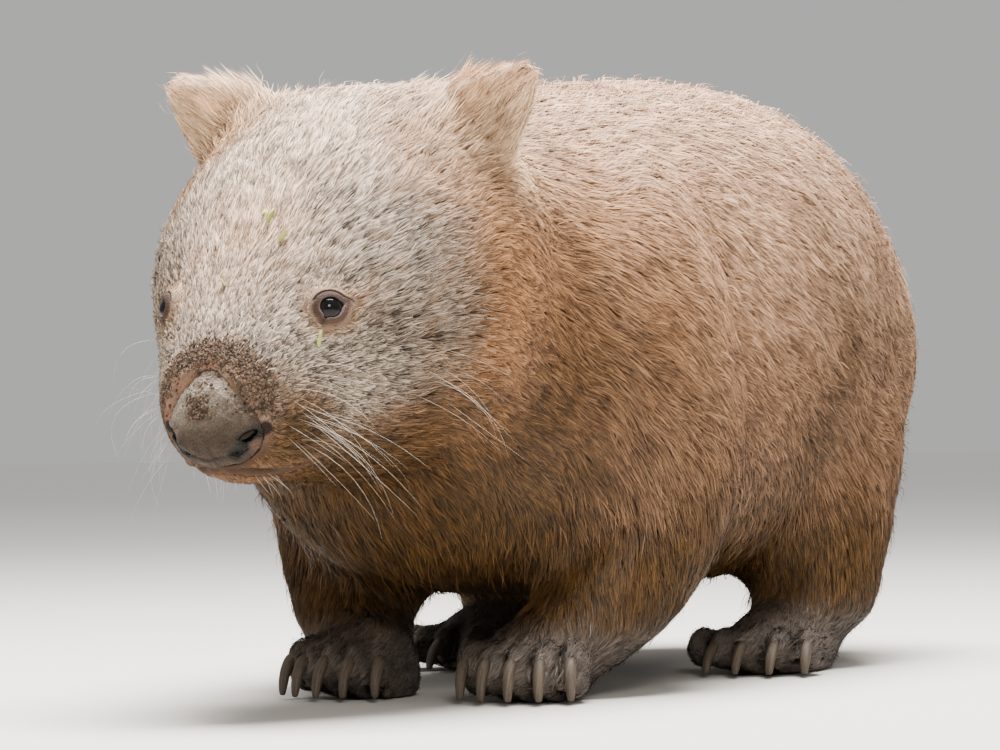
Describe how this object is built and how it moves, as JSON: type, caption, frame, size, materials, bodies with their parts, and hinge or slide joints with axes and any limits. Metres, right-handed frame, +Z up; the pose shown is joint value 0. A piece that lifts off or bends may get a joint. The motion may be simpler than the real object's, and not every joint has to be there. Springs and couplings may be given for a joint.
{
  "type": "wombat",
  "caption": "Life-size bare-nosed wombat standing square on all fours, with a barrel body, broad head, short ears, clawed paws and a thick short coat.",
  "frame": {"origin": "middle of the bounding box's base, on the floor between the four feet", "axes": "+Z up, -Y the way the wombat faces, +X to the wombat's left"},
  "size_m": [0.344, 0.847, 0.4185],
  "materials": {
    "body_coat": "dense short fur, rufous brown with pale tips",
    "face_coat": "very short grey-taupe fur with pale tips",
    "ear_coat": "fine short fur with a pale rim, bare and darker in the cup",
    "leg_coat": "dark brown short fur",
    "nose_skin": "bare granular skin dusted with dry soil",
    "claw": "worn horn",
    "eye": "wet and glossy"
  },
  "bodies": {
    "root": {"ear_left": "ear_coat", "ear_right": "ear_coat", "eye_left": "eye", "eye_right": "eye", "fore_claw_left_1": "claw", "fore_claw_left_2": "claw", "fore_claw_left_3": "claw", "fore_claw_left_4": "claw", "fore_claw_left_5": "claw", "fore_claw_right_1": "claw", "fore_claw_right_2": "claw", "fore_claw_right_3": "claw", "fore_claw_right_4": "claw", "fore_claw_right_5": "claw", "foreleg_left": "leg_coat", "foreleg_right": "leg_coat", "forepaw_left": "leg_coat", "forepaw_right": "leg_coat", "head": "face_coat", "hind_claw_left_1": "claw", "hind_claw_left_2": "claw", "hind_claw_left_3": "claw", "hind_claw_left_4": "claw", "hind_claw_right_1": "claw", "hind_claw_right_2": "claw", "hind_claw_right_3": "claw", "hind_claw_right_4": "claw", "hindfoot_left": "leg_coat", "hindfoot_right": "leg_coat", "hindleg_left": "leg_coat", "hindleg_right": "leg_coat", "hindquarters": "body_coat", "neck": "body_coat", "nose": "nose_skin", "shoulder_left": "body_coat", "shoulder_right": "body_coat", "tail": "body_coat", "thigh_left": "body_coat", "thigh_right": "body_coat", "torso": "body_coat"}
  },
  "joints": []
}
